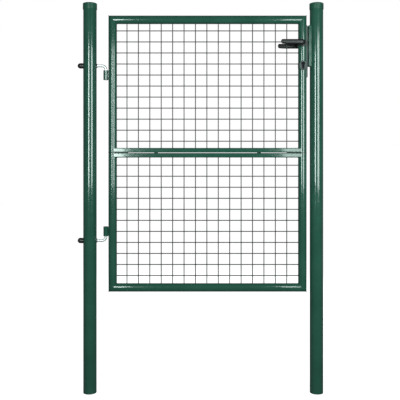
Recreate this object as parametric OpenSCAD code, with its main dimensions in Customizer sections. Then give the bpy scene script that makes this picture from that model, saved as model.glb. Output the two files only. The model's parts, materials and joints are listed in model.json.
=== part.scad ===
// Garden gate: a welded-mesh leaf between two round posts, with hook bolt hinges and a narrow stile lock.
// Origin: centre of the hinge post's foot. +X runs to the latch post, +Z up, and the leaf opens towards -Y.
// Millimetres.

/* [Posts] */
// Outer diameter of the posts
post_d = 60; // [50:1:76]
// Wall thickness of the posts
post_wall = 2; // [1.5:0.5:3]
// Length of the posts, foot to cut end
post_h = 1750; // [1720:10:2000]
// Distance between the posts' centre lines
post_span = 1026; // [1016:1:1036]
// Radial thickness of the post caps' skirts
cap_wall = 1.8; // [1.5:0.1:3]
// Height of the post caps' skirts
cap_skirt = 16; // [12:1:30]
// Rise of the post caps above the cut end
cap_rise = 12; // [8:1:18]

/* [Leaf frame] */
// Gap between the hinge post and the leaf
hinge_gap = 54; // [50:1:60]
// Width of the leaf over its frame
leaf_w = 897; // [890:1:898]
// Height of the leaf over its frame
leaf_h = 1250; // [1240:5:1260]
// Height of the leaf's lowest edge above the posts' feet
leaf_lift = 456; // [440:1:470]
// Outer diameter of the frame tube
tube_d = 38; // [38:1:38]
// Wall thickness of the frame tube
tube_wall = 1.5; // [1.5:0.25:1.5]
// Height of the joint between the two half frames, above the posts' feet
joint_z = 1085; // [1070:1:1100]
// Thickness of the couplers' collars and tongues, which is the gap between the middle bars
joint_gap = 2.5; // [2:0.5:4]
// Height of each middle bar
bar_h = 20.5; // [18:0.5:25]
// Depth of each middle bar, front to back
bar_depth = 35; // [30:1:36]
// Wall thickness of the middle bars
bar_wall = 1.5; // [1:0.25:2]
// Corner radius of the middle bars
bar_corner = 4; // [3:0.5:6]
// Distance of each middle bolt from the leaf's centre line
mid_bolt_x = 233; // [150:1:300]
// Length of each coupler inside the stiles
coupler_len = 160; // [100:10:220]
// Reach of each coupler's tongue between the middle bars
tongue_len = 50; // [30:1:70]

/* [Mesh] */
// Diameter of the upright wires
upright_d = 4.25; // [3:0.25:5]
// Diameter of the cross wires
cross_d = 4.25; // [3:0.25:5]
// Number of upright wires
upright_n = 15; // [10:1:16]
// Spacing of the upright wires
upright_pitch = 51.66; // [48:0.01:52]
// Distance from the hinge stile to the first upright wire
upright_first = 46; // [40:1:52]
// Number of cross wires in each half
cross_n = 11; // [8:1:11]
// Spacing of the cross wires
cross_pitch = 50; // [45:0.5:50]
// Depth that the crossing wires melt into each other
weld_sink = 0.3; // [0.1:0.1:0.6]

/* [Hinges] */
// Diameter of the hook bolts
bolt_d = 12; // [12:1:12]
// Radius of the hook bolts' bend, on the centre line
bend_r = 17; // [15:1:20]
// Distance from the leaf's edge to the hinge axis
hinge_off = 12; // [12:1:14]
// Height of the upper hook bolt
upper_bolt_z = 1478.5; // [1450:0.5:1500]
// Height of the lower hook bolt
lower_bolt_z = 687.5; // [670:0.5:710]
// Distance from a hook bolt to the middle of its barrel
barrel_drop = 42; // [42:1:50]
// Outer diameter of the hinge barrels
barrel_d = 22; // [20:1:22]
// Length of the hinge barrels
barrel_len = 43; // [38:1:44]
// Radial running clearance of the hinge pins
pin_play = 0.08; // [0.05:0.01:0.1]

/* [Lock] */
// Height of the spindle above the posts' feet
spindle_z = 1578; // [1570:1:1585]
// Distance from the spindle down to the cylinder
lock_centres = 92; // [92:1:92]
// Height of the forend's lower end
forend_z0 = 1421; // [1415:1:1425]
// Height of the forend's upper end
forend_z1 = 1664; // [1660:1:1666]
// Width of the forend
forend_w = 24; // [22:1:24]
// How far the latch's nose stands out of the forend
latch_out = 4; // [1:0.5:4]
// Length of the lock cylinder
cylinder_len = 60; // [60:1:70]
// Length of a lever from the spindle to its tip
lever_len = 103; // [90:1:115]
// Height of a lever's grip
grip_h = 21.4; // [18:0.2:24]
// Depth of a lever's grip
grip_depth = 18; // [14:1:20]
// Distance of a grip's inner face from the leaf's middle plane
grip_off = 51; // [45:1:56]

/* [Keep] */
// Height of the keep's lower end
keep_z0 = 1476; // [1470:1:1485]
// Height of the keep's upper end
keep_z1 = 1660; // [1650:1:1665]
// Width of the keep
keep_w = 32; // [30:1:34]
// Distance from the post's centre line to the keep's face
keep_off = 37.3; // [37.3:0.1:38]
// Sheet thickness of the keep
keep_t = 3; // [2:0.5:3]

/* [Hidden] */
$fn = 64;
eps = 1;

post_r = post_d / 2;
tube_r = tube_d / 2;
tube_bore_r = tube_r - tube_wall;
leaf_x0 = post_r + hinge_gap;
leaf_x1 = leaf_x0 + leaf_w;
leaf_cx = leaf_x0 + leaf_w / 2;
leaf_top = leaf_lift + leaf_h;
hinge_stile_x = leaf_x0 + tube_r;
latch_stile_x = leaf_x1 - tube_r;
upper_joint_z = joint_z + joint_gap / 2;
lower_joint_z = joint_z - joint_gap / 2;
upper_bar_top = upper_joint_z + bar_h;
lower_bar_bottom = lower_joint_z - bar_h;
mitre_over = 12;

upright_y = -(upright_d - weld_sink) / 2;
cross_y = (cross_d - weld_sink) / 2;
upper_panel_mid = (upper_bar_top + leaf_top - tube_d) / 2;
lower_panel_mid = (lower_bar_bottom + leaf_lift + tube_d) / 2;

mid_bolt_d = 8;
mid_hole_d = 8.4;
mid_head_d = 15;
mid_head_h = 3.5;
mid_nut_h = 6.5;
mid_nut_af = 13;
mid_spacer_d = 17;
mid_bolt_xs = [leaf_cx - mid_bolt_x, leaf_cx + mid_bolt_x];
collar_over = 0.5;

hinge_x = leaf_x0 - hinge_off;
nut_af = 19;
nut_h = 10;
saddle_t = 3;
inner_saddle_d = 18;
outer_saddle_d = 22;
bolt_hole_d = 12.1;
post_hole_d = 12.8;
bolt_tail = post_r + saddle_t + nut_h + 3;
bolt_cap_r = 12.3;
bolt_cap_bore_r = 11.2;
bolt_cap_len = 25.6;
bolt_cap_nose = 13;
barrel_web = 8;

crown_rise = 0.8;

forend_t = 3;
forend_leg_t = 2;
forend_leg_len = 10;
forend_round = 10;
forend_back_x = latch_stile_x + tube_r + 0.2;
forend_x = forend_back_x + forend_t;

case_x0 = latch_stile_x - 15.5;
case_x1 = latch_stile_x + tube_r;
case_half = 7;
case_wall = 1.2;
case_z0 = 1445;
case_z1 = 1630;
case_in = case_half - case_wall;
boss_d = 7;
cover_screw_d = 3.4;
cover_screw_places = [[951.5, 1624], [951.5, 1451], [972, 1545]];

bolt_half = 5.5;
slide_play = 0.25;
latch_z0 = 1592;
latch_z1 = 1614;
latch_nose_x0 = 975;
latch_body_x0 = 968;
latch_body_z0 = 1603;
latch_tail_x0 = 952;
latch_tail_z1 = 1604;
latch_tip_x = forend_x + latch_out;
latch_bevel_len = 12;
dead_z0 = 1500.5;
dead_z1 = 1528.5;
dead_x0 = 952;
dead_tip_x = forend_x - 0.2;
pocket_play = 1.5;

key_z = spindle_z - lock_centres;
plug_d = 13;
cyl_d = 17;
cyl_flange_w = 10;
cyl_drop = 24.5;
cam_half = 5;
cam_ring_r = 8;
cam_nose_r = 13.7;
cyl_screw_z = key_z - 20;
screw_d = 5;
screw_head_d = 9.4;
forend_screw_inset = 15;
forend_screw_len = 16;
forend_screw_zs = [forend_z0 + forend_screw_inset, forend_z1 - forend_screw_inset];

spindle_w = 8;
spindle_hole_w = 8.1;
spindle_half = grip_off - 1;
follower_d = 20;
journal_d = 14;
arm_len = 24;
arm_w = 6;
arm_lean = 19;
neck_d = 18;
neck_root = 20;
lever_rise = 4;
lever_rise_len = 45;
lever_bend_x = 26;
lever_bend_y = 15;
rose_d = 30;
rose_out = 7;
shield_w = 32;
shield_h = 42;
shield_out = 8;
grub_d = 5;
grub_len = 5;
spring_d = 6;
spring_wire_d = 1;
spring_turns = 6;
spring_x0 = 954;
spring_seat_t = 3;
spring_z = 1609;

keep_x = post_span - keep_off;
stop_reach = 9.7;
stop_gap = 0.4;

latch_window = [latch_z0 - pocket_play, latch_z1 + pocket_play];
dead_window = [dead_z0 - pocket_play, dead_z1 + pocket_play];
window_half = bolt_half + pocket_play;

GREEN = [0.13, 0.29, 0.24];
WIRE_GREEN = [0.25, 0.31, 0.29];
ZINC = [0.78, 0.79, 0.80];
BLACK = [0.08, 0.08, 0.09];
STEEL = [0.55, 0.57, 0.58];
BRASS = [0.72, 0.60, 0.35];

// ---------- helpers ----------

// A prism along Y whose outline is drawn in X and Z.
module slab(outline, depth = 100) {
    rotate([90, 0, 0])
        linear_extrude(height = depth, center = true)
            polygon(outline);
}

// A rod along X from x0 to x1.
module rod_x(d, x0, x1, y = 0, z = 0, sides = 64) {
    translate([x0, y, z])
        rotate([0, 90, 0])
            cylinder(d = d, h = x1 - x0, $fn = sides);
}

// A rod along Y from y0 to y1.
module rod_y(d, y0, y1, x = 0, z = 0, sides = 64) {
    translate([x, y1, z])
        rotate([90, 0, 0])
            cylinder(d = d, h = y1 - y0, $fn = sides);
}

// A box between two corners.
module block(low, high) {
    translate(low)
        cube([high[0] - low[0], high[1] - low[1], high[2] - low[2]]);
}

module post_solid(x) {
    translate([x, 0, -eps])
        cylinder(r = post_r, h = post_h + 2 * eps);
}

module stile_solid(x) {
    translate([x, 0, leaf_lift - eps])
        cylinder(r = tube_r, h = leaf_h + 2 * eps);
}

module rail_solid(z) {
    rod_x(tube_d, leaf_x0 - eps, leaf_x1 + eps, 0, z);
}

// Points of an arc about a centre.
function arc(centre, r, from, to, steps) = [
    for (i = [0:steps])
        let (a = from + (to - from) * i / steps)
        [centre[0] + r * cos(a), centre[1] + r * sin(a)]
];

// A rectangle with round corners, centred on the origin.
function round_rect(w, h, r) = concat(
    arc([w / 2 - r, h / 2 - r], r, 0, 90, 5),
    arc([r - w / 2, h / 2 - r], r, 90, 180, 5),
    arc([r - w / 2, r - h / 2], r, 180, 270, 5),
    arc([w / 2 - r, r - h / 2], r, 270, 360, 5)
);

// ---------- posts ----------

module post_tube(x) {
    translate([x, 0, 0])
        difference() {
            cylinder(r = post_r, h = post_h);
            translate([0, 0, -eps])
                cylinder(r = post_r - post_wall, h = post_h + 2 * eps);
        }
}

module hinge_post() {
    color(GREEN)
        difference() {
            post_tube(0);
            for (z = [upper_bolt_z, lower_bolt_z])
                rod_x(post_hole_d, -post_r - eps, post_r + eps, 0, z);
        }
}

module latch_post() {
    color(GREEN)
        difference() {
            post_tube(post_span);
            for (w = [latch_window, dead_window])
                block([post_span - post_r - eps, -window_half, w[0]], [post_span - post_r / 2, window_half, w[1]]);
        }
}

// A push-on cap: a skirt, a small round shoulder and an almost flat crown.
module post_cap(x) {
    skirt_r = post_r + 0.1 + cap_wall;
    shoulder_r = 3.5;
    top = post_h + cap_rise;
    shoulder_z = top - crown_rise - shoulder_r;
    flat_r = skirt_r - shoulder_r;
    crown = [for (i = [7:-1:0]) let (f = i / 8) [flat_r * f, top - crown_rise * f * f]];
    color(GREEN)
        translate([x, 0, 0])
            rotate_extrude()
                polygon(concat(
                    [[post_r + 0.1, post_h - cap_skirt], [skirt_r, post_h - cap_skirt]],
                    arc([flat_r, shoulder_z], shoulder_r, 0, 90, 10),
                    crown,
                    [[0, post_h + 0.2], [post_r + 0.1, post_h + 0.2]]
                ));
}

module hinge_post_cap() { post_cap(0); }
module latch_post_cap() { post_cap(post_span); }

// ---------- hinges ----------

// A rod through the post that bends into a pin. turn is -1 for a pin that points down and 1 for one that points up.
module hook_bolt(z, turn) {
    pin_end = barrel_drop + barrel_len / 2 - 3;
    color(ZINC)
        translate([0, 0, z])
            mirror([0, 0, turn > 0 ? 1 : 0]) {
                rod_x(bolt_d, -bolt_tail, hinge_x - bend_r);
                translate([hinge_x - bend_r, 0, -bend_r])
                    rotate([90, 0, 0])
                        rotate_extrude(angle = 90)
                            translate([bend_r, 0])
                                circle(d = bolt_d);
                translate([hinge_x, 0, -pin_end])
                    cylinder(d = bolt_d, h = pin_end - bend_r);
            }
}

module upper_hinge_bolt() { hook_bolt(upper_bolt_z, -1); }
module lower_hinge_bolt() { hook_bolt(lower_bolt_z, 1); }

// The hook bolts' nuts, on the post's outer side only, under the black caps.
module hinge_nuts() {
    color(ZINC)
        for (z = [upper_bolt_z, lower_bolt_z], x = [-post_r - saddle_t - nut_h])
            difference() {
                translate([x, 0, z])
                    rotate([0, 90, 0])
                        cylinder(d = nut_af / cos(30), h = nut_h, $fn = 6);
                rod_x(bolt_hole_d, x - eps, x + nut_h + eps, 0, z);
            }
}

// Washers that are hollowed to the post on one face and flat on the other.
module hinge_saddle_washers() {
    color(BLACK)
        difference() {
            for (z = [upper_bolt_z, lower_bolt_z]) {
                rod_x(inner_saddle_d, 20, post_r + saddle_t, 0, z);
                rod_x(outer_saddle_d, -post_r - saddle_t, -20, 0, z);
            }
            post_solid(0);
            for (z = [upper_bolt_z, lower_bolt_z])
                rod_x(bolt_hole_d, -post_r - 10, post_r + 10, 0, z);
        }
}

// Hollow plastic domes over the nuts on the post's outer side.
module hinge_bolt_caps() {
    cap_end = post_r + bolt_cap_len;
    dome_x = cap_end - bolt_cap_nose;
    bore_end = bolt_tail + 2;
    dome = [for (i = [0:10]) let (a = 90 * i / 10) [bolt_cap_r * cos(a), dome_x + bolt_cap_nose * sin(a)]];
    color(BLACK)
        difference() {
            for (z = [upper_bolt_z, lower_bolt_z])
                translate([0, 0, z])
                    rotate([0, -90, 0])
                        rotate_extrude()
                            polygon(concat(
                                [[bolt_cap_bore_r, 20], [bolt_cap_r - 0.5, 20]],
                                dome,
                                [[0, bore_end], [bolt_cap_bore_r, bore_end]]
                            ));
            post_solid(0);
        }
}

// A bored barrel with a short web that is welded to the hinge stile.
module hinge_barrel(z) {
    color(GREEN)
        difference() {
            union() {
                translate([hinge_x, 0, z - barrel_len / 2])
                    cylinder(d = barrel_d, h = barrel_len);
                block(
                    [hinge_x, -barrel_web / 2, z - barrel_len / 2 + 3],
                    [leaf_x0 + 4, barrel_web / 2, z + barrel_len / 2 - 3]
                );
            }
            translate([hinge_x, 0, z - barrel_len])
                cylinder(r = bolt_d / 2 + pin_play, h = 2 * barrel_len);
            stile_solid(hinge_stile_x);
        }
}

module upper_hinge_barrel() { hinge_barrel(upper_bolt_z - barrel_drop); }
module lower_hinge_barrel() { hinge_barrel(lower_bolt_z + barrel_drop); }

// ---------- leaf frame ----------

// Outline that a rail keeps between its two mitres. side is 1 for the top rail and -1 for the bottom rail.
function rail_region(z, side) =
    let (inner = z - side * (tube_d + mitre_over), outer = z + side * mitre_over)
    [
        [leaf_x0 - mitre_over, outer],
        [leaf_x1 + mitre_over, outer],
        [leaf_x1 - tube_d - mitre_over, inner],
        [leaf_x0 + tube_d + mitre_over, inner]
    ];

// Outline that a half stile keeps between its mitre and the middle joint. way points into the leaf.
function stile_region(x, way, z, side, z_joint) =
    let (inner_x = x + way * (tube_d + mitre_over), outer_x = x - way * mitre_over)
    [
        [outer_x, z + side * mitre_over],
        [inner_x, z - side * (tube_d + mitre_over)],
        [inner_x, z_joint],
        [outer_x, z_joint]
    ];

module rail(z_edge, side) {
    z = z_edge - side * tube_r;
    color(GREEN)
        intersection() {
            difference() {
                rod_x(tube_d, leaf_x0 - eps, leaf_x1 + eps, 0, z);
                rod_x(tube_bore_r * 2, leaf_x0 - 2 * eps, leaf_x1 + 2 * eps, 0, z);
            }
            slab(rail_region(z_edge, side));
        }
}

module half_stile(x_edge, way, z_edge, side, z_joint) {
    x = x_edge + way * tube_r;
    intersection() {
        difference() {
            stile_solid(x);
            translate([x, 0, leaf_lift - 2 * eps])
                cylinder(r = tube_bore_r, h = leaf_h + 4 * eps);
        }
        slab(stile_region(x_edge, way, z_edge, side, z_joint));
    }
}

module top_rail() { rail(leaf_top, 1); }
module bottom_rail() { rail(leaf_lift, -1); }

module hinge_stile_upper() {
    color(GREEN)
        half_stile(leaf_x0, 1, leaf_top, 1, upper_joint_z);
}

module hinge_stile_lower() {
    color(GREEN)
        half_stile(leaf_x0, 1, leaf_lift, -1, lower_joint_z);
}

module latch_stile_lower() {
    color(GREEN)
        half_stile(leaf_x1, -1, leaf_lift, -1, lower_joint_z);
}

// The upper half of the latch stile, slotted for the lock case and drilled for the spindle and cylinder.
module latch_stile_upper() {
    color(GREEN)
        difference() {
            half_stile(leaf_x1, -1, leaf_top, 1, upper_joint_z);
            block(
                [latch_stile_x, -case_half - 0.3, case_z0 - 1],
                [leaf_x1 + eps, case_half + 0.3, case_z1 + 1]
            );
            rod_y(journal_d + 1, -tube_d, tube_d, latch_stile_x, spindle_z);
            cylinder_profile(0.6);
            for (z = forend_screw_zs)
                rod_x(screw_d + 0.2, latch_stile_x, leaf_x1 + eps, 0, z);
        }
}

// One of the two bars across the leaf's middle, coped to the stiles. drill_z is where its bolt holes start.
module mid_bar(z0, drill_z) {
    z = z0 + bar_h / 2;
    color(GREEN)
        difference() {
            translate([hinge_stile_x, 0, z])
                rotate([0, 90, 0])
                    linear_extrude(height = latch_stile_x - hinge_stile_x)
                        difference() {
                            polygon(round_rect(bar_h, bar_depth, bar_corner));
                            polygon(round_rect(
                                bar_h - 2 * bar_wall, bar_depth - 2 * bar_wall, bar_corner - bar_wall
                            ));
                        }
            stile_solid(hinge_stile_x);
            stile_solid(latch_stile_x);
            for (x = mid_bolt_xs) {
                translate([x, 0, drill_z])
                    cylinder(d = mid_hole_d, h = 2 * bar_h);
                translate([x, 0, upper_bar_top - mid_head_h])
                    cylinder(d1 = mid_bolt_d + 0.2, d2 = mid_head_d + 0.2, h = mid_head_h);
            }
        }
}

module upper_mid_bar() { mid_bar(upper_joint_z, upper_joint_z - eps); }
module lower_mid_bar() { mid_bar(lower_bar_bottom, lower_bar_bottom + bar_h / 2); }

// A sleeve inside the two half stiles, with a collar and a tongue between the middle bars.
module coupler(x, way) {
    sleeve_r = tube_bore_r - 0.2;
    tongue_x = x + way * (tube_r + tongue_len);
    color(BLACK)
        difference() {
            union() {
                translate([x, 0, joint_z - coupler_len / 2])
                    cylinder(r = sleeve_r, h = coupler_len);
                translate([x, 0, lower_joint_z])
                    cylinder(r = tube_r + collar_over, h = joint_gap);
                block(
                    [min(x, tongue_x), 2 - bar_depth / 2, lower_joint_z],
                    [max(x, tongue_x), bar_depth / 2 - 2, upper_joint_z]
                );
            }
            translate([x, 0, joint_z - coupler_len])
                cylinder(r = sleeve_r - 2, h = 2 * coupler_len);
        }
}

module hinge_stile_coupler() { coupler(hinge_stile_x, 1); }
module latch_stile_coupler() { coupler(latch_stile_x, -1); }

// Countersunk bolts down through both middle bars, their heads flush with the upper bar's top.
module mid_bar_bolts() {
    length = bar_h + joint_gap + bar_wall + mid_nut_h + 2;
    socket_r = 2.6;
    color(GREEN)
        for (x = mid_bolt_xs)
            translate([x, 0, upper_bar_top])
                mirror([0, 0, 1])
                    rotate_extrude()
                        polygon([
                            [0, 2], [socket_r, 2], [socket_r, 0], [mid_head_d / 2, 0],
                            [mid_bolt_d / 2, mid_head_h], [mid_bolt_d / 2, length], [0, length]
                        ]);
}

module mid_bar_nuts() {
    color(ZINC)
        for (x = mid_bolt_xs)
            translate([x, 0, lower_joint_z - bar_wall - mid_nut_h])
                difference() {
                    cylinder(d = mid_nut_af / cos(30), h = mid_nut_h, $fn = 6);
                    translate([0, 0, -eps])
                        cylinder(d = mid_bolt_d + 0.1, h = mid_nut_h + 2 * eps);
                }
}

module mid_bar_spacers() {
    color(BLACK)
        for (x = mid_bolt_xs)
            translate([x, 0, lower_joint_z])
                difference() {
                    cylinder(d = mid_spacer_d, h = joint_gap);
                    translate([0, 0, -eps])
                        cylinder(d = mid_hole_d, h = joint_gap + 2 * eps);
                }
}

// ---------- mesh ----------

module uprights(z0, z1, rail_z) {
    color(WIRE_GREEN)
        difference() {
            for (i = [0:upright_n - 1])
                translate([leaf_x0 + tube_d + upright_first + i * upright_pitch, upright_y, z0])
                    cylinder(d = upright_d, h = z1 - z0, $fn = 24);
            rail_solid(rail_z);
        }
}

module crosswires(z_mid) {
    color(WIRE_GREEN)
        difference() {
            for (i = [0:cross_n - 1])
                rod_x(
                    cross_d, hinge_stile_x, latch_stile_x,
                    cross_y, z_mid + (i - (cross_n - 1) / 2) * cross_pitch, 24
                );
            stile_solid(hinge_stile_x);
            stile_solid(latch_stile_x);
        }
}

module upper_mesh_uprights() { uprights(upper_bar_top, leaf_top - tube_r, leaf_top - tube_r); }
module lower_mesh_uprights() { uprights(leaf_lift + tube_r, lower_bar_bottom, leaf_lift + tube_r); }
module upper_mesh_crosswires() { crosswires(upper_panel_mid); }
module lower_mesh_crosswires() { crosswires(lower_panel_mid); }

// ---------- lock ----------

// The round-and-flange outline of the lock cylinder, grown by extra all round, through the whole stile.
module cylinder_profile(extra, half_len = 60) {
    flange = cyl_flange_w / 2 + extra;
    low = cyl_drop + extra;
    rod_y(cyl_d + 2 * extra, -half_len, half_len, latch_stile_x, key_z);
    translate([latch_stile_x, 0, key_z])
        slab(
            [
                [-flange, 0], [flange, 0], [flange, 3 - low],
                [flange - 3, -low], [3 - flange, -low], [-flange, 3 - low]
            ],
            2 * half_len
        );
}

// The windows through which the latch and the deadbolt slide.
module bolt_windows(play, x0, x1) {
    block([x0, -bolt_half - play, latch_z0 - play], [x1, bolt_half + play, latch_z1 + play]);
    block([x0, -bolt_half - play, dead_z0 - play], [x1, bolt_half + play, dead_z1 + play]);
}

module lock_case() {
    color(ZINC)
        difference() {
            union() {
                difference() {
                    block([case_x0, -case_half, case_z0], [case_x1, case_in, case_z1]);
                    block(
                        [case_x0 + case_wall, -case_in, case_z0 + case_wall],
                        [case_x1 - case_wall, case_in + eps, case_z1 - case_wall]
                    );
                }
                for (p = cover_screw_places)
                    rod_y(boss_d, -case_in - 0.5, case_in, p[0], p[1]);
                block(
                    [spring_x0 - spring_seat_t, -case_in - 0.5, spring_z - spring_d / 2],
                    [spring_x0, case_in - 1, spring_z + spring_d / 2 + 1]
                );
            }
            for (p = cover_screw_places)
                rod_y(cover_screw_d, -case_in, case_in + eps, p[0], p[1]);
            rod_y(journal_d + 2 * pin_play, -case_half - eps, 0, latch_stile_x, spindle_z);
            cylinder_profile(0.1);
            bolt_windows(slide_play, case_x1 - 2 * case_wall, case_x1 + eps);
            rod_x(screw_d + 0.3, case_x1 - 2 * case_wall, case_x1 + eps, 0, cyl_screw_z);
        }
}

module lock_cover() {
    color(ZINC)
        difference() {
            block([case_x0, case_in, case_z0], [case_x1, case_half, case_z1]);
            for (p = cover_screw_places)
                rod_y(cover_screw_d + 0.2, 0, case_half + eps, p[0], p[1]);
            rod_y(journal_d + 2 * pin_play, 0, case_half + eps, latch_stile_x, spindle_z);
            cylinder_profile(0.1);
        }
}

module lock_cover_screws() {
    color(ZINC)
        for (p = cover_screw_places) {
            rod_y(cover_screw_d - 0.1, -2, case_half, p[0], p[1]);
            rod_y(6, case_half, case_half + 1.4, p[0], p[1]);
        }
}

// A countersunk screw along X, its head's face at x.
module countersunk_screw(x, z, length) {
    head_h = (screw_head_d - screw_d) / 2;
    translate([x, 0, z])
        rotate([0, -90, 0])
            rotate_extrude()
                polygon([
                    [0, 1.2], [1.4, 1.2], [1.4, 0], [screw_head_d / 2, 0],
                    [screw_d / 2, head_h], [screw_d / 2, length], [0, length]
                ]);
}

module countersunk_hole(x, z) {
    head_h = (screw_head_d - screw_d) / 2;
    grow = 0.1;
    translate([x, 0, z])
        rotate([0, -90, 0])
            rotate_extrude()
                polygon([
                    [0, -eps], [screw_head_d / 2 + grow, -eps], [screw_head_d / 2 + grow, 0],
                    [screw_d / 2 + grow, head_h], [screw_d / 2 + grow, 20], [0, 20]
                ]);
}

// The channel-shaped front plate of the lock, set astride the stile.
module forend() {
    half = forend_w / 2;
    leg_x = forend_back_x - forend_leg_len;
    outline = concat(
        [[leg_x - eps, forend_z0]],
        arc([forend_x - forend_round, forend_z0 + forend_round], forend_round, -90, 0, 6),
        arc([forend_x - forend_round, forend_z1 - forend_round], forend_round, 0, 90, 6),
        [[leg_x - eps, forend_z1]]
    );
    color(STEEL)
        difference() {
            intersection() {
                difference() {
                    block([leg_x, -half, forend_z0 - eps], [forend_x, half, forend_z1 + eps]);
                    block(
                        [leg_x - eps, forend_leg_t - half, forend_z0 - 2 * eps],
                        [forend_back_x, half - forend_leg_t, forend_z1 + 2 * eps]
                    );
                }
                slab(outline);
            }
            stile_solid(latch_stile_x);
            bolt_windows(slide_play, forend_back_x - eps, forend_x + eps);
            for (z = concat(forend_screw_zs, [cyl_screw_z]))
                countersunk_hole(forend_x, z);
        }
}

module forend_screws() {
    color(ZINC)
        for (z = forend_screw_zs)
            countersunk_screw(forend_x, z, forend_screw_len);
}

module cylinder_screw() {
    color(ZINC)
        countersunk_screw(forend_x, cyl_screw_z, forend_x - latch_stile_x + 3);
}

// A lever's collar, hollowed to the stile behind.
module rose(side) {
    color(BLACK)
        difference() {
            rod_y(rose_d, min(side * 8, side * (tube_r + rose_out)), max(side * 8, side * (tube_r + rose_out)),
                latch_stile_x, spindle_z);
            rod_y(neck_d + 2 * pin_play, -60, 60, latch_stile_x, spindle_z);
            stile_solid(latch_stile_x);
            forend_space();
        }
}

// The room that the forend and its legs take up beside the roses and escutcheons.
module forend_space() {
    block(
        [forend_back_x - forend_leg_len, -forend_w / 2 - 0.1, forend_z0],
        [forend_x + 10, forend_w / 2 + 0.1, forend_z1]
    );
}

module front_rose() { rose(-1); }
module rear_rose() { rose(1); }

// An oval shield round the lock cylinder, hollowed to the stile behind.
module escutcheon(side) {
    face = side * (tube_r + shield_out);
    shield_z = key_z + (cyl_d / 2 - cyl_drop) / 2;
    straight = (shield_h - shield_w) / 2;
    outline = concat(
        arc([0, straight], shield_w / 2, 0, 180, 24),
        arc([0, -straight], shield_w / 2, 180, 360, 24)
    );
    color(STEEL)
        difference() {
            translate([latch_stile_x, (side * 8 + face) / 2, shield_z])
                slab(outline, tube_r + shield_out - 8);
            cylinder_profile(0.1);
            stile_solid(latch_stile_x);
            forend_space();
        }
}

module front_escutcheon() { escutcheon(-1); }
module rear_escutcheon() { escutcheon(1); }

module cylinder_body() {
    cam_room = cam_half + 0.3;
    color(STEEL)
        difference() {
            cylinder_profile(0, cylinder_len / 2);
            rod_y(plug_d + 2 * pin_play, -cylinder_len, cylinder_len, latch_stile_x, key_z);
            block(
                [latch_stile_x - cyl_d, -cam_room, key_z - cam_nose_r - 0.4],
                [latch_stile_x + cyl_d, cam_room, key_z + cyl_d]
            );
            rod_x(screw_d + 0.1, latch_stile_x - 5, latch_stile_x + cyl_d, 0, cyl_screw_z);
        }
}

// A key plug with its key slot in the outer face.
module plug(side) {
    y0 = side * cam_half;
    y1 = side * (cylinder_len / 2);
    slot_y = side * (cylinder_len / 2 - 20);
    color(BRASS)
        difference() {
            rod_y(plug_d, min(y0, y1), max(y0, y1), latch_stile_x, key_z);
            block(
                [latch_stile_x - 1, min(slot_y, y1 + side), key_z - 4.5],
                [latch_stile_x + 1, max(slot_y, y1 + side), key_z + 4]
            );
        }
}

module front_plug() { plug(-1); }
module rear_plug() { plug(1); }

module cylinder_cam() {
    color(STEEL)
        translate([latch_stile_x, 0, key_z]) {
            rod_y(2 * cam_ring_r, -cam_half, cam_half);
            intersection() {
                rotate([0, 150, 0])
                    block([-3.5, -cam_half, 0], [3.5, cam_half, 20]);
                rod_y(2 * cam_nose_r, -cam_half, cam_half);
            }
        }
}

// The spring latch: a bevelled nose, a body above the follower's arm and a thin tail with a lug for that arm.
module latch_bolt() {
    lug_t = 2.5;
    color(STEEL)
        union() {
            translate([0, 0, latch_z0])
                linear_extrude(height = latch_z1 - latch_z0)
                    polygon([
                        [latch_nose_x0, -bolt_half],
                        [latch_tip_x, -bolt_half],
                        [latch_tip_x, 1.5 - bolt_half],
                        [latch_tip_x - latch_bevel_len, bolt_half],
                        [latch_nose_x0, bolt_half]
                    ]);
            block([latch_body_x0, -bolt_half, latch_body_z0], [latch_nose_x0 + eps, bolt_half, latch_z1]);
            block([latch_tail_x0, 2.2, latch_z0], [latch_nose_x0 + eps, bolt_half, latch_tail_z1]);
            block([latch_tail_x0, -5, latch_z0], [latch_tail_x0 + lug_t, 2.2 + eps, latch_z0 + 8]);
        }
}

// A compression spring along X between its seat in the case and the latch.
module latch_spring() {
    sides = 6;
    rings = spring_turns * 12;
    coil_r = (spring_d - spring_wire_d) / 2;
    pitch = (latch_body_x0 - spring_x0 - spring_wire_d) / rings;
    points = [
        for (i = [0:rings], k = [0:sides - 1])
            let (a = 360 * spring_turns * i / rings, b = 360 * k / sides, r = coil_r + spring_wire_d / 2 * cos(b))
            [spring_x0 + spring_wire_d / 2 + pitch * i + spring_wire_d / 2 * sin(b), r * cos(a), r * sin(a)]
    ];
    walls = [
        for (i = [0:rings - 1], k = [0:sides - 1])
            let (n = (k + 1) % sides)
            [i * sides + k, i * sides + n, (i + 1) * sides + n, (i + 1) * sides + k]
    ];
    ends = [
        [for (k = [sides - 1:-1:0]) k],
        [for (k = [0:sides - 1]) rings * sides + k]
    ];
    color(ZINC)
        translate([0, 0, spring_z])
            polyhedron(points, concat(walls, ends));
}

module deadbolt() {
    color(STEEL)
        block([dead_x0, -bolt_half, dead_z0], [dead_tip_x, bolt_half, dead_z1]);
}

module square_hole(half_len) {
    w = spindle_hole_w / 2;
    block([latch_stile_x - w, -half_len, spindle_z - w], [latch_stile_x + w, half_len, spindle_z + w]);
}

// The follower that the spindle turns, with an arm up to the latch's tail.
module lock_follower() {
    hub_half = 5.4;
    color(STEEL)
        difference() {
            translate([latch_stile_x, 0, spindle_z]) {
                rod_y(follower_d, -hub_half, hub_half);
                rod_y(journal_d, -case_half, case_half);
                intersection() {
                    rotate([0, arm_lean, 0])
                        block([-arm_w / 2, -hub_half, 0], [arm_w / 2, 1.6, arm_len + 5]);
                    rod_y(2 * arm_len, -hub_half, hub_half);
                }
            }
            square_hole(20);
        }
}

module spindle() {
    w = spindle_w / 2;
    color(ZINC)
        block([latch_stile_x - w, -spindle_half, spindle_z - w], [latch_stile_x + w, spindle_half, spindle_z + w]);
}

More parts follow.
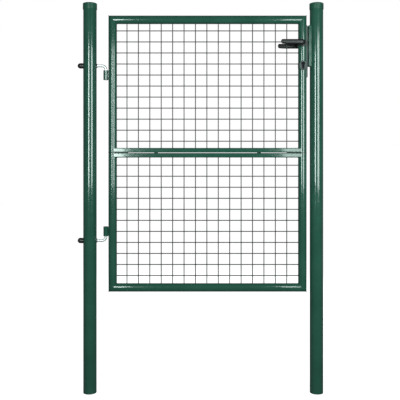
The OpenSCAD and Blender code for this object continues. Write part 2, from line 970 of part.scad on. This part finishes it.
// A lever handle: a round neck over the spindle that turns in a wide bend into a grip, whose underside rises to the
// tip.
module lever(side) {
    grip_mid = side * (grip_off + grip_depth / 2);
    hub_r = grip_h / 2;
    tip_x = latch_stile_x - lever_len;
    tip_r = 5;
    under = [for (i = [0:8]) let (a = 90 * i / 8)
        [tip_x + lever_rise_len * (1 - cos(a)), spindle_z - hub_r + lever_rise * (1 - sin(a))]];
    front = concat(
        arc([latch_stile_x, spindle_z], hub_r, -90, 90, 16),
        arc([tip_x + tip_r, spindle_z + hub_r - tip_r], tip_r, 90, 180, 6),
        under
    );
    end_x = latch_stile_x + hub_r;
    face = grip_off + grip_depth;
    over = concat(
        [[end_x + 1, side * (grip_off - 1)], [end_x + 1, side * (face - lever_bend_y)]],
        [for (i = [0:12]) let (a = 90 * i / 12)
            [end_x - lever_bend_x * (1 - cos(a)), side * (face - lever_bend_y * (1 - sin(a)))]],
        [[tip_x + 4, side * face], [tip_x + 1.2, side * (face - 1.2)], [tip_x, side * (face - 4)],
            [tip_x, side * (grip_off + 4)], [tip_x + 1.2, side * (grip_off + 1.2)], [tip_x + 4, side * grip_off],
            [tip_x + 4, side * (grip_off - 1)]]
    );
    color(BLACK)
        difference() {
            union() {
                rod_y(neck_d, min(side * neck_root, side * (grip_off + 2)), max(side * neck_root, side * (grip_off + 2)),
                    latch_stile_x, spindle_z);
                intersection() {
                    translate([0, grip_mid, 0])
                        slab(front, grip_depth);
                    translate([tip_x - 5, grip_mid, spindle_z])
                        rotate([0, 90, 0])
                            linear_extrude(height = lever_len + 30)
                                polygon(round_rect(grip_h + 0.01, grip_depth + 0.01, 6));
                    translate([0, 0, spindle_z - grip_h])
                        linear_extrude(height = 2 * grip_h)
                            polygon(over);
                }
            }
            square_hole(spindle_half + 1);
            translate([latch_stile_x, side * 32, spindle_z - 20])
                cylinder(d = grub_d + 0.1, h = 20);
        }
}

module front_lever() { lever(-1); }
module rear_lever() { lever(1); }

module lever_grub_screws() {
    color(ZINC)
        for (side = [-1, 1])
            translate([latch_stile_x, side * 32, spindle_z - spindle_w / 2 - grub_len])
                difference() {
                    cylinder(d = grub_d, h = grub_len);
                    translate([0, 0, -eps])
                        cylinder(d = 2.5 / cos(30), h = 2.5 + eps, $fn = 6);
                }
}

// ---------- keep ----------

// A channel welded to the latch post, with windows for the latch and the deadbolt.
module keep() {
    half = keep_w / 2;
    color(GREEN)
        difference() {
            block([keep_x, -half, keep_z0], [post_span, half, keep_z1]);
            block([keep_x + keep_t, keep_t - half, keep_z0 - eps], [post_span + eps, half - keep_t, keep_z1 + eps]);
            post_solid(post_span);
            for (w = [latch_window, dead_window])
                block([keep_x - eps, -window_half, w[0]], [keep_x + keep_t + eps, window_half, w[1]]);
        }
}

// A lip on the keep, behind the forend's rear leg, that the leaf closes against.
module keep_stop() {
    color(GREEN)
        block([keep_x - stop_reach, forend_w / 2 + stop_gap, keep_z0], [keep_x, keep_w / 2, keep_z1]);
}

hinge_post();
latch_post();
hinge_post_cap();
latch_post_cap();
upper_hinge_bolt();
lower_hinge_bolt();
hinge_nuts();
hinge_saddle_washers();
hinge_bolt_caps();
keep();
keep_stop();
top_rail();
hinge_stile_upper();
latch_stile_upper();
bottom_rail();
hinge_stile_lower();
latch_stile_lower();
upper_mid_bar();
lower_mid_bar();
hinge_stile_coupler();
latch_stile_coupler();
mid_bar_bolts();
mid_bar_nuts();
mid_bar_spacers();
upper_mesh_uprights();
upper_mesh_crosswires();
lower_mesh_uprights();
lower_mesh_crosswires();
upper_hinge_barrel();
lower_hinge_barrel();
lock_case();
lock_cover();
lock_cover_screws();
forend();
forend_screws();
front_rose();
rear_rose();
front_escutcheon();
rear_escutcheon();
cylinder_body();
cylinder_screw();
front_plug();
rear_plug();
cylinder_cam();
latch_bolt();
latch_spring();
deadbolt();
lock_follower();
spindle();
front_lever();
rear_lever();
lever_grub_screws();
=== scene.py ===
"""The looks of the garden gate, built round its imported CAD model. Metres, +Z up, viewer on the -Y side."""

import json
import math

import bmesh
import bpy
from mathutils import Matrix, Vector


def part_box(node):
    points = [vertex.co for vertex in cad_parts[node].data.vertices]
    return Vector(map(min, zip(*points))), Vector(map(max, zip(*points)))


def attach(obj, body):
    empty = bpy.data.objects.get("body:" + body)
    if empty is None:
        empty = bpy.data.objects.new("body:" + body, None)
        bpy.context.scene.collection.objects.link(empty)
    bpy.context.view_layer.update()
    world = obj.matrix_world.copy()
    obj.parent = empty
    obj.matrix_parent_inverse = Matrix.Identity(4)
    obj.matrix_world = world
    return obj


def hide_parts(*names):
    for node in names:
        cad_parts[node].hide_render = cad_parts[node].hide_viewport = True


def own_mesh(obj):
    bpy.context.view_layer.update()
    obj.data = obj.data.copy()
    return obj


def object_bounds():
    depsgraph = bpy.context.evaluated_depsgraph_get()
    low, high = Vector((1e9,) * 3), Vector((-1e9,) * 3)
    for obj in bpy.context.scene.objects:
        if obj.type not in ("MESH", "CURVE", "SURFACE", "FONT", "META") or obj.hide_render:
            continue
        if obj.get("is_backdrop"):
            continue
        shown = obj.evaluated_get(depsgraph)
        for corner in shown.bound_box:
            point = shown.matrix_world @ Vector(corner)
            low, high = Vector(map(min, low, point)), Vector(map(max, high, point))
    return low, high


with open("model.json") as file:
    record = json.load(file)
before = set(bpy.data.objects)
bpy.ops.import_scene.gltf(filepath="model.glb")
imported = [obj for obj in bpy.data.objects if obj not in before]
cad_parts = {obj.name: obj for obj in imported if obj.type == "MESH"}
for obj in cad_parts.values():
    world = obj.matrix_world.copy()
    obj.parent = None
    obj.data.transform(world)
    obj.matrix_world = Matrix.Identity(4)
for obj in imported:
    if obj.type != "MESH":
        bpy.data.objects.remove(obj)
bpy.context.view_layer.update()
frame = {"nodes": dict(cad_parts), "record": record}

# ---------- places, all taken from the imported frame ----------

leaf_low = Vector([min(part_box(n)[0][i] for n in ("hinge_stile_lower", "bottom_rail")) for i in range(3)])
leaf_high = Vector([max(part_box(n)[1][i] for n in ("latch_stile_upper", "top_rail")) for i in range(3)])
TUBE_R = (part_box("hinge_stile_upper")[1][1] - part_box("hinge_stile_upper")[0][1]) / 2
HINGE_STILE_X = leaf_low[0] + TUBE_R
LATCH_STILE_X = leaf_high[0] - TUBE_R
TOP_RAIL_Z = leaf_high[2] - TUBE_R
BOTTOM_RAIL_Z = leaf_low[2] + TUBE_R
BAR_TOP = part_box("upper_mid_bar")[1][2]
BAR_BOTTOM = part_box("lower_mid_bar")[0][2]
SPINDLE_Z = (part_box("spindle")[0][2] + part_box("spindle")[1][2]) / 2

UPRIGHT_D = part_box("upper_mesh_uprights")[1][1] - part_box("upper_mesh_uprights")[0][1]
CROSS_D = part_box("upper_mesh_crosswires")[1][1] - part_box("upper_mesh_crosswires")[0][1]
UPRIGHT_N = 15
CROSS_N = 11
CROSS_PITCH = 0.050
WELD_SINK = 0.0003


# ---------- materials ----------

class Nodes:
    """A small helper that builds one material's node tree."""

    def __init__(self, name, roughness, metallic=0.0, coat=0.0, coat_roughness=0.1, ior=1.5):
        self.mat = bpy.data.materials.new(name)
        self.mat.use_nodes = True
        self.tree = self.mat.node_tree
        self.shader = self.tree.nodes["Principled BSDF"]
        self.shader.inputs["Metallic"].default_value = metallic
        self.shader.inputs["Roughness"].default_value = roughness
        self.shader.inputs["IOR"].default_value = ior
        self.shader.inputs["Coat Weight"].default_value = coat
        self.shader.inputs["Coat Roughness"].default_value = coat_roughness
        self.coords = self.tree.nodes.new("ShaderNodeTexCoord").outputs["Object"]

    def link(self, out, socket):
        self.tree.links.new(out, socket)

    def noise(self, scale, detail=3.0, rough=0.5, stretch=None):
        node = self.tree.nodes.new("ShaderNodeTexNoise")
        node.inputs["Scale"].default_value = scale
        node.inputs["Detail"].default_value = detail
        node.inputs["Roughness"].default_value = rough
        source = self.coords
        if stretch:
            mapping = self.tree.nodes.new("ShaderNodeMapping")
            mapping.inputs["Scale"].default_value = stretch
            self.link(self.coords, mapping.inputs["Vector"])
            source = mapping.outputs["Vector"]
        self.link(source, node.inputs["Vector"])
        return node.outputs["Fac"]

    def ramp(self, fac, stops):
        node = self.tree.nodes.new("ShaderNodeValToRGB")
        ramp = node.color_ramp
        while len(ramp.elements) < len(stops):
            ramp.elements.new(0.5)
        for element, (place, colour) in zip(ramp.elements, stops):
            element.position = place
            element.color = (*colour, 1.0)
        self.link(fac, node.inputs["Fac"])
        return node.outputs["Color"]

    def spread(self, fac, low, high):
        node = self.tree.nodes.new("ShaderNodeMapRange")
        node.inputs["From Min"].default_value = 0.3
        node.inputs["From Max"].default_value = 0.7
        node.inputs["To Min"].default_value = low
        node.inputs["To Max"].default_value = high
        self.link(fac, node.inputs["Value"])
        return node.outputs["Result"]

    def bump(self, fac, distance, strength=1.0, rounding=0.0):
        node = self.tree.nodes.new("ShaderNodeBump")
        node.inputs["Distance"].default_value = distance
        node.inputs["Strength"].default_value = strength
        self.link(fac, node.inputs["Height"])
        if rounding:
            bevel = self.tree.nodes.new("ShaderNodeBevel")
            bevel.samples = 4
            bevel.inputs["Radius"].default_value = rounding
            self.link(bevel.outputs["Normal"], node.inputs["Normal"])
        self.link(node.outputs["Normal"], self.shader.inputs["Normal"])

    def colour(self, out):
        self.link(out, self.shader.inputs["Base Color"])

    def rough(self, out):
        self.link(out, self.shader.inputs["Roughness"])


def green_paint():
    """Gloss powder coat: a faint orange peel, slow shifts of tone and a little dust."""
    n = Nodes("green_paint", 0.10, coat=0.35, coat_roughness=0.04)
    tone = n.noise(9.0, 4.0, 0.55)
    n.colour(n.ramp(tone, [
        (0.30, (0.0125, 0.066, 0.044)), (0.52, (0.0155, 0.076, 0.051)), (0.74, (0.020, 0.087, 0.060)),
    ]))
    n.rough(n.spread(n.noise(38.0, 4.0, 0.6), 0.11, 0.155))
    n.bump(n.noise(260.0, 2.0, 0.5), 0.00001, 0.10, 0.0004)
    return n.mat


def green_plastic():
    """Moulded plastic in the same green, with a softer shine than the paint."""
    n = Nodes("green_plastic", 0.26, ior=1.5)
    n.colour(n.ramp(n.noise(14.0, 3.0, 0.5), [(0.30, (0.0125, 0.066, 0.043)), (0.70, (0.019, 0.084, 0.057))]))
    n.rough(n.spread(n.noise(160.0, 3.0, 0.6), 0.23, 0.31))
    n.bump(n.noise(900.0, 2.0, 0.6), 0.00004, 0.35, 0.0004)
    return n.mat


def green_wire():
    """Thin coat on drawn wire, duller than the tubes."""
    n = Nodes("green_wire", 0.42, coat=0.1, coat_roughness=0.25)
    tone = n.noise(60.0, 3.0, 0.5)
    n.colour(n.ramp(tone, [(0.30, (0.010, 0.017, 0.014)), (0.70, (0.018, 0.027, 0.023))]))
    n.rough(n.spread(n.noise(240.0, 3.0, 0.6), 0.34, 0.52))
    n.bump(n.noise(900.0, 2.0, 0.5), 0.00005, 0.4)
    return n.mat


def zinc():
    """Bright zinc plate with a fine bluish mottle."""
    n = Nodes("zinc", 0.42, metallic=0.7)
    n.colour(n.ramp(n.noise(85.0, 5.0, 0.6), [(0.32, (0.78, 0.79, 0.82)), (0.68, (0.92, 0.92, 0.93))]))
    n.rough(n.spread(n.noise(210.0, 4.0, 0.6), 0.36, 0.50))
    n.bump(n.noise(800.0, 3.0, 0.6), 0.00003, 0.25, 0.0003)
    return n.mat


def lock_steel():
    """Satin lock steel, ground along its length."""
    n = Nodes("lock_steel", 0.55, metallic=0.4, ior=1.35)
    grain = n.noise(120.0, 4.0, 0.6, stretch=(14.0, 14.0, 0.6))
    n.colour(n.ramp(grain, [(0.30, (0.052, 0.066, 0.064)), (0.70, (0.082, 0.098, 0.095))]))
    n.rough(n.spread(grain, 0.48, 0.62))
    n.bump(grain, 0.00005, 0.4, 0.0004)
    return n.mat


def black_plastic():
    """Fine-grained moulded plastic."""
    n = Nodes("black_plastic", 0.38, ior=1.46)
    n.colour(n.ramp(n.noise(45.0, 3.0, 0.5), [(0.30, (0.006, 0.006, 0.007)), (0.70, (0.012, 0.011, 0.013))]))
    n.rough(n.spread(n.noise(300.0, 3.0, 0.6), 0.31, 0.46))
    n.bump(n.noise(1500.0, 2.0, 0.6), 0.00007, 0.5, 0.0005)
    return n.mat


def nickel_brass():
    """Brass lock cylinder coloured near-black as painted shade, so its face reads as the dark keyhole spot."""
    n = Nodes("nickel_brass", 0.4, metallic=1.0)
    # painted shade: the near-black base colour stands in for the shade on the cylinder face and keyway
    n.colour(n.ramp(n.noise(140.0, 4.0, 0.6), [(0.30, (0.006, 0.006, 0.007)), (0.70, (0.012, 0.012, 0.013))]))
    n.rough(n.spread(n.noise(420.0, 3.0, 0.6), 0.34, 0.46))
    n.bump(n.noise(1200.0, 2.0, 0.5), 0.00003, 0.3, 0.0003)
    return n.mat


MATERIALS = {
    make.__name__: make()
    for make in (green_paint, green_plastic, green_wire, zinc, lock_steel, black_plastic, nickel_brass)
}


def paint_cad_nodes():
    for sub in frame["record"]["subparts"]:
        obj = frame["nodes"][sub["node"]]
        obj.data.materials.clear()
        obj.data.materials.append(MATERIALS[sub["material_slot"]])


# ---------- mesh helpers ----------

def piece(name, mesh, body, slot, smooth=True):
    """Adds one finished piece that rides on a body and takes a slot's material."""
    data = bpy.data.meshes.new(name)
    bmesh.ops.recalc_face_normals(mesh, faces=mesh.faces)
    mesh.to_mesh(data)
    mesh.free()
    for face in data.polygons:
        face.use_smooth = smooth
    data.materials.append(MATERIALS[slot])
    obj = bpy.data.objects.new(name, data)
    bpy.context.scene.collection.objects.link(obj)
    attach(obj, body)
    return obj


def loft(mesh, rings, closed_path=False):
    """Skins rings of points, each ring closed, and caps the ends of an open path."""
    loops = [[mesh.verts.new(p) for p in ring] for ring in rings]
    count = len(loops[0])
    pairs = list(zip(loops, loops[1:]))
    if closed_path:
        pairs.append((loops[-1], loops[0]))
    for a, b in pairs:
        for k in range(count):
            n = (k + 1) % count
            mesh.faces.new((a[k], a[n], b[n], b[k]))
    if not closed_path:
        mesh.faces.new(list(reversed(loops[0])))
        mesh.faces.new(loops[-1])


def ball(mesh, centre, size, segments=8):
    """A squashed sphere."""
    place = Matrix.Translation(centre) @ Matrix.Diagonal((*size, 1.0))
    bmesh.ops.create_uvsphere(mesh, u_segments=segments, v_segments=segments // 2 + 1, radius=1.0, matrix=place)


def bead(mesh, path, radius, ripple=0.22, closed=True, sides=8):
    """A rippled weld bead along a path of points."""
    count = len(path)
    rings = []
    for i, here in enumerate(path):
        after = path[(i + 1) % count] if closed or i + 1 < count else here
        before = path[i - 1] if closed or i else here
        along = (after - before).normalized()
        side = along.orthogonal().normalized()
        over = along.cross(side)
        r = radius * (1 + ripple * math.sin(i * math.pi * 2 / 3) + 0.12 * math.sin(i * 1.7))
        rings.append([
            here + side * (r * math.cos(2 * math.pi * k / sides)) + over * (r * math.sin(2 * math.pi * k / sides))
            for k in range(sides)
        ])
    loft(mesh, rings, closed_path=closed)


# ---------- welds ----------

def mitre_path(corner_x, corner_z, way_x, way_z, steps=72):
    """The ellipse in which two equal tubes meet at a mitre, about a corner of the frame's centre line."""
    points = []
    for i in range(steps):
        a = 2 * math.pi * i / steps
        reach = TUBE_R * math.cos(a)
        points.append(Vector((corner_x + way_x * reach, TUBE_R * math.sin(a), corner_z + way_z * reach)))
    return points


def frame_welds():
    mesh = bmesh.new()
    for x, way_x in ((HINGE_STILE_X, -1), (LATCH_STILE_X, 1)):
        for z, way_z in ((TOP_RAIL_Z, 1), (BOTTOM_RAIL_Z, -1)):
            bead(mesh, mitre_path(x, z, way_x, way_z), 0.0011)
    piece("frame_weld_beads", mesh, "leaf", "green_paint")


def bar_welds():
    """Beads where the middle bars meet the stiles."""
    mesh = bmesh.new()
    reach = (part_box("upper_mid_bar")[1][1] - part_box("upper_mid_bar")[0][1]) / 2 - 0.002
    for x, way in ((HINGE_STILE_X, 1), (LATCH_STILE_X, -1)):
        for z in (BAR_TOP, BAR_BOTTOM):
            path = []
            for i in range(31):
                y = reach * (2 * i / 30 - 1)
                path.append(Vector((x + way * math.sqrt(TUBE_R ** 2 - y * y), y, z)))
            bead(mesh, path, 0.0013, closed=False)
    piece("bar_weld_beads", mesh, "leaf", "green_paint")


def barrel_welds():
    """Beads down both sides of each hinge barrel's web."""
    web_half = 0.0042
    end_gap = 0.004
    steps = 24
    mesh = bmesh.new()
    for node in ("upper_hinge_barrel", "lower_hinge_barrel"):
        low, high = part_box(node)
        for side in (-1, 1):
            y = side * web_half
            x = HINGE_STILE_X - math.sqrt(TUBE_R ** 2 - y * y)
            z0, z1 = low[2] + end_gap, high[2] - end_gap
            path = [Vector((x, y, z0 + (z1 - z0) * i / steps)) for i in range(steps + 1)]
            bead(mesh, path, 0.0014, closed=False)
    piece("barrel_weld_beads", mesh, "leaf", "green_paint")


def wire_xs():
    low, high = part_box("upper_mesh_uprights")
    first, last = low[0] + UPRIGHT_D / 2, high[0] - UPRIGHT_D / 2
    return [first + (last - first) * i / (UPRIGHT_N - 1) for i in range(UPRIGHT_N)]


def wire_zs(node):
    low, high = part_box(node)
    first = (low[2] + high[2]) / 2 - CROSS_PITCH * (CROSS_N - 1) / 2
    return [first + CROSS_PITCH * i for i in range(CROSS_N)]


def mesh_welds():
    """The small nuggets where crossing wires melt together, and the dots where wires meet the frame."""
    for half in ("upper", "lower"):
        mesh = bmesh.new()
        xs, zs = wire_xs(), wire_zs(half + "_mesh_crosswires")
        for x in xs:
            for z in zs:
                ball(mesh, (x, 0.0, z), (0.0022, 0.0011, 0.0020), 6)
        low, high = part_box(half + "_mesh_uprights")
        y = -(UPRIGHT_D - WELD_SINK) / 2
        for x in xs:
            for z in (low[2], high[2]):
                ball(mesh, (x, y, z), (0.0030, 0.0030, 0.0016), 8)
        y = (CROSS_D - WELD_SINK) / 2
        for z in zs:
            for x, way in ((HINGE_STILE_X, 1), (LATCH_STILE_X, -1)):
                ball(mesh, (x + way * TUBE_R, y, z), (0.0014, 0.0028, 0.0028), 8)
        piece(half + "_mesh_welds", mesh, "leaf", "green_wire")


# ---------- levers ----------

def squircle(half_a, half_b, power, count=32):
    """A rounded box outline, as pairs."""
    points = []
    for k in range(count):
        a = 2 * math.pi * k / count
        c, s = math.cos(a), math.sin(a)
        points.append((half_a * math.copysign(abs(c) ** power, c), half_b * math.copysign(abs(s) ** power, s)))
    return points


def lever(name, side):
    """A lever: a round neck that turns in a wide bend into a grip whose underside rises to the tip."""
    low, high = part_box(name)
    tip_x = low[0]
    y_root = low[1] if side > 0 else high[1]
    y_face = high[1] if side > 0 else low[1]
    half_h = (high[2] - low[2]) / 2
    pivot_x = high[0] - half_h
    depth = 0.018
    neck_r = 0.009
    y_mid = abs(y_face) - depth / 2
    bend_r = 0.016
    rise_run, rise_h = 0.045, 0.004
    tip_run, tip_least = 0.006, 0.45
    bend_x, bend_y = pivot_x - bend_r, y_mid - bend_r

    # each station: centre x and y, the way the path runs, half width across it, half height, centre z, roundness
    stations = []
    for i in range(9):
        f = i / 8
        stations.append((pivot_x, abs(y_root) + (bend_y - abs(y_root)) * f, 90, neck_r, neck_r, 0.0, 1.0))
    for i in range(1, 15):
        f = i / 15
        a = math.radians(90 * f)
        ease = f * f * (3 - 2 * f)
        stations.append((
            bend_x + bend_r * math.cos(a), bend_y + bend_r * math.sin(a), 90 + 90 * f,
            neck_r, neck_r + (half_h - neck_r) * ease, 0.0, 1.0 - 0.40 * ease,
        ))
    length = bend_x - tip_x
    for i in range(31):
        f = i / 30
        x = bend_x - length * f
        from_tip = x - tip_x
        rise = 0.0
        if from_tip < rise_run:
            rise = rise_h * (1 - math.sqrt(max(0.0, 1 - (1 - from_tip / rise_run) ** 2)))
        tip = 1.0
        if from_tip < tip_run:
            tip = tip_least + (1 - tip_least) * math.sqrt(max(0.0, 1 - (1 - from_tip / tip_run) ** 2))
        stations.append((x, y_mid, 180, depth / 2 * tip, (half_h - rise / 2) * tip, rise / 2, 0.60))

    mesh = bmesh.new()
    rings = []
    for x, y, way, across, up, centre_z, power in stations:
        turn = math.radians(way - 90)
        rings.append([
            (x + a * math.cos(turn), side * (y + a * math.sin(turn)), SPINDLE_Z + centre_z + b)
            for a, b in squircle(across, up, power)
        ])
    loft(mesh, rings)
    obj = piece(name + "_handle", mesh, "handle", "black_plastic")
    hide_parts(name)


# ---------- fasteners ----------

def hinge_nut_set():
    """Hex nuts with chamfered corners, in place of the plain ones."""
    x0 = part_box("hinge_nuts")[0][0]
    bolt_zs = []
    for node in ("upper_hinge_bolt", "lower_hinge_bolt"):
        low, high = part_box(node)
        rod_r = (high[1] - low[1]) / 2
        bolt_zs.append(high[2] - rod_r if node.startswith("upper") else low[2] + rod_r)
    flats = 0.019
    length = 0.010
    bore = 0.00605
    chamfer = 0.0011
    chamfer_grow = 0.93
    corner_grow = 1.155
    sides = 48
    mesh = bmesh.new()
    for z in bolt_zs:
        rings = []
        stations = ((0.0, chamfer_grow), (chamfer, 1.0), (length - chamfer, 1.0), (length, chamfer_grow))
        for x, grow in stations:
            ring = []
            for k in range(sides):
                a = 2 * math.pi * k / sides
                sector = (a + math.pi / 6) % (math.pi / 3) - math.pi / 6
                hexagon = flats / 2 / math.cos(sector)
                r = min(hexagon, flats / 2 * (corner_grow if grow == 1.0 else 1.0))
                ring.append((x0 + x, r * math.sin(a), z + r * math.cos(a)))
            rings.append(ring)
        for x in (length, 0.0):
            rings.append([
                (x0 + x, bore * math.sin(2 * math.pi * k / sides), z + bore * math.cos(2 * math.pi * k / sides))
                for k in range(sides)
            ])
        loft(mesh, rings, closed_path=True)
    obj = piece("hinge_hex_nuts", mesh, "posts", "zinc", smooth=False)
    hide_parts("hinge_nuts")


def latch_coil():
    """The latch's compression spring: a fixed coil of wire filling the spring's box, riding on the leaf."""
    low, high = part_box("latch_spring")
    turns = 6
    wire_r = 0.0005
    coil_r = (high[2] - low[2]) / 2 - wire_r
    centre_z = (low[2] + high[2]) / 2
    length = high[0] - low[0]
    steps = turns * 24
    wire_sides = 10
    mesh = bmesh.new()
    rings = []
    for i in range(steps + 1):
        a = 2 * math.pi * turns * i / steps
        x = low[0] + wire_r + (length - 2 * wire_r) * i / steps
        ring = []
        for k in range(wire_sides):
            b = 2 * math.pi * k / wire_sides
            r = coil_r + wire_r * math.cos(b)
            ring.append((x + wire_r * math.sin(b), r * math.cos(a), centre_z + r * math.sin(a)))
        rings.append(ring)
    loft(mesh, rings)
    obj = piece("latch_coil", mesh, "leaf", "zinc")
    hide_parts("latch_spring")
    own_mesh(obj)


# ---------- studio ----------

def area_light(name, place, target, size_x, size_y, power, mirrored=True):
    """A soft box. An unmirrored one lights surfaces but doesn't show in their gloss."""
    data = bpy.data.lights.new(name, "AREA")
    data.shape = "RECTANGLE"
    data.size = size_x
    data.size_y = size_y
    data.energy = power
    data.color = (0.86, 1.0, 0.955)
    obj = bpy.data.objects.new(name, data)
    obj.location = place
    obj.rotation_euler = (Vector(target) - Vector(place)).to_track_quat("-Z", "Y").to_euler()
    obj.visible_camera = False
    obj.visible_glossy = mirrored
    bpy.context.scene.collection.objects.link(obj)


def studio():
    scene = bpy.context.scene
    scene.view_settings.view_transform = "Standard"
    scene.view_settings.look = "None"

    world = bpy.data.worlds.new("studio")
    scene.world = world
    world.use_nodes = True
    tree = world.node_tree
    room = tree.nodes["Background"]
    room.inputs["Color"].default_value = (0.93, 0.97, 1.0, 1.0)
    room.inputs["Strength"].default_value = 0.115
    paper_white = tree.nodes.new("ShaderNodeBackground")
    paper_white.inputs["Color"].default_value = (1.0, 1.0, 1.0, 1.0)
    seen = tree.nodes.new("ShaderNodeLightPath")
    mix = tree.nodes.new("ShaderNodeMixShader")
    tree.links.new(seen.outputs["Is Camera Ray"], mix.inputs["Fac"])
    tree.links.new(room.outputs["Background"], mix.inputs[1])
    tree.links.new(paper_white.outputs["Background"], mix.inputs[2])
    tree.links.new(mix.outputs["Shader"], tree.nodes["World Output"].inputs["Surface"])

    floor_mesh = bmesh.new()
    bmesh.ops.create_grid(floor_mesh, x_segments=1, y_segments=1, size=12.0)
    data = bpy.data.meshes.new("floor")
    floor_mesh.to_mesh(data)
    floor_mesh.free()
    floor = bpy.data.objects.new("floor", data)
    floor_gap = 0.0005
    floor.location = (0.5, 0.0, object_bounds()[0][2] - floor_gap)
    scene.collection.objects.link(floor)
    paper = bpy.data.materials.new("floor_paper")
    paper.use_nodes = True
    shader = paper.node_tree.nodes["Principled BSDF"]
    shader.inputs["Base Color"].default_value = (0.35, 0.35, 0.35, 1.0)
    shader.inputs["Roughness"].default_value = 0.9
    shader.inputs["Specular IOR Level"].default_value = 0.1
    shader.inputs["Emission Color"].default_value = (1.0, 1.0, 1.0, 1.0)
    shader.inputs["Emission Strength"].default_value = 0.975
    data.materials.append(paper)
    floor.visible_glossy = False
    floor.visible_diffuse = False
    floor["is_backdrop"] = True

    area_light("left_box", (-0.44, -2.6, 1.42), (0.5, 0.0, 1.1), 0.60, 1.20, 45)
    area_light("right_box", (1.90, -1.96, 1.42), (0.5, 0.0, 1.1), 1.04, 1.20, 40)
    area_light("right_strip", (1.20, -1.96, 1.42), (1.0, 0.0, 1.3), 0.15, 1.20, 5.5)
    area_light("rear_left_fill", (-0.90, 2.7, 1.42), (0.5, 0.0, 1.0), 0.90, 1.20, 28, mirrored=False)
    area_light("rear_right_fill", (1.90, 2.7, 1.42), (0.5, 0.0, 1.0), 0.90, 1.20, 28, mirrored=False)


def camera():
    picture_w = 1.812
    distance = 2.9
    centre_x = 0.4985
    centre_z = 0.871
    eye_z = 1.052
    sensor = 36.0
    data = bpy.data.cameras.new("camera")
    data.sensor_width = sensor
    data.lens = sensor * distance / picture_w
    data.shift_y = (centre_z - eye_z) / picture_w
    obj = bpy.data.objects.new("camera", data)
    obj.location = (centre_x, -distance, eye_z)
    obj.rotation_euler = (math.pi / 2, 0.0, 0.0)
    bpy.context.scene.collection.objects.link(obj)
    bpy.context.scene.camera = obj


camera()
paint_cad_nodes()
frame_welds()
bar_welds()
barrel_welds()
mesh_welds()
lever("front_lever", -1)
lever("rear_lever", 1)
hinge_nut_set()
latch_coil()
studio()
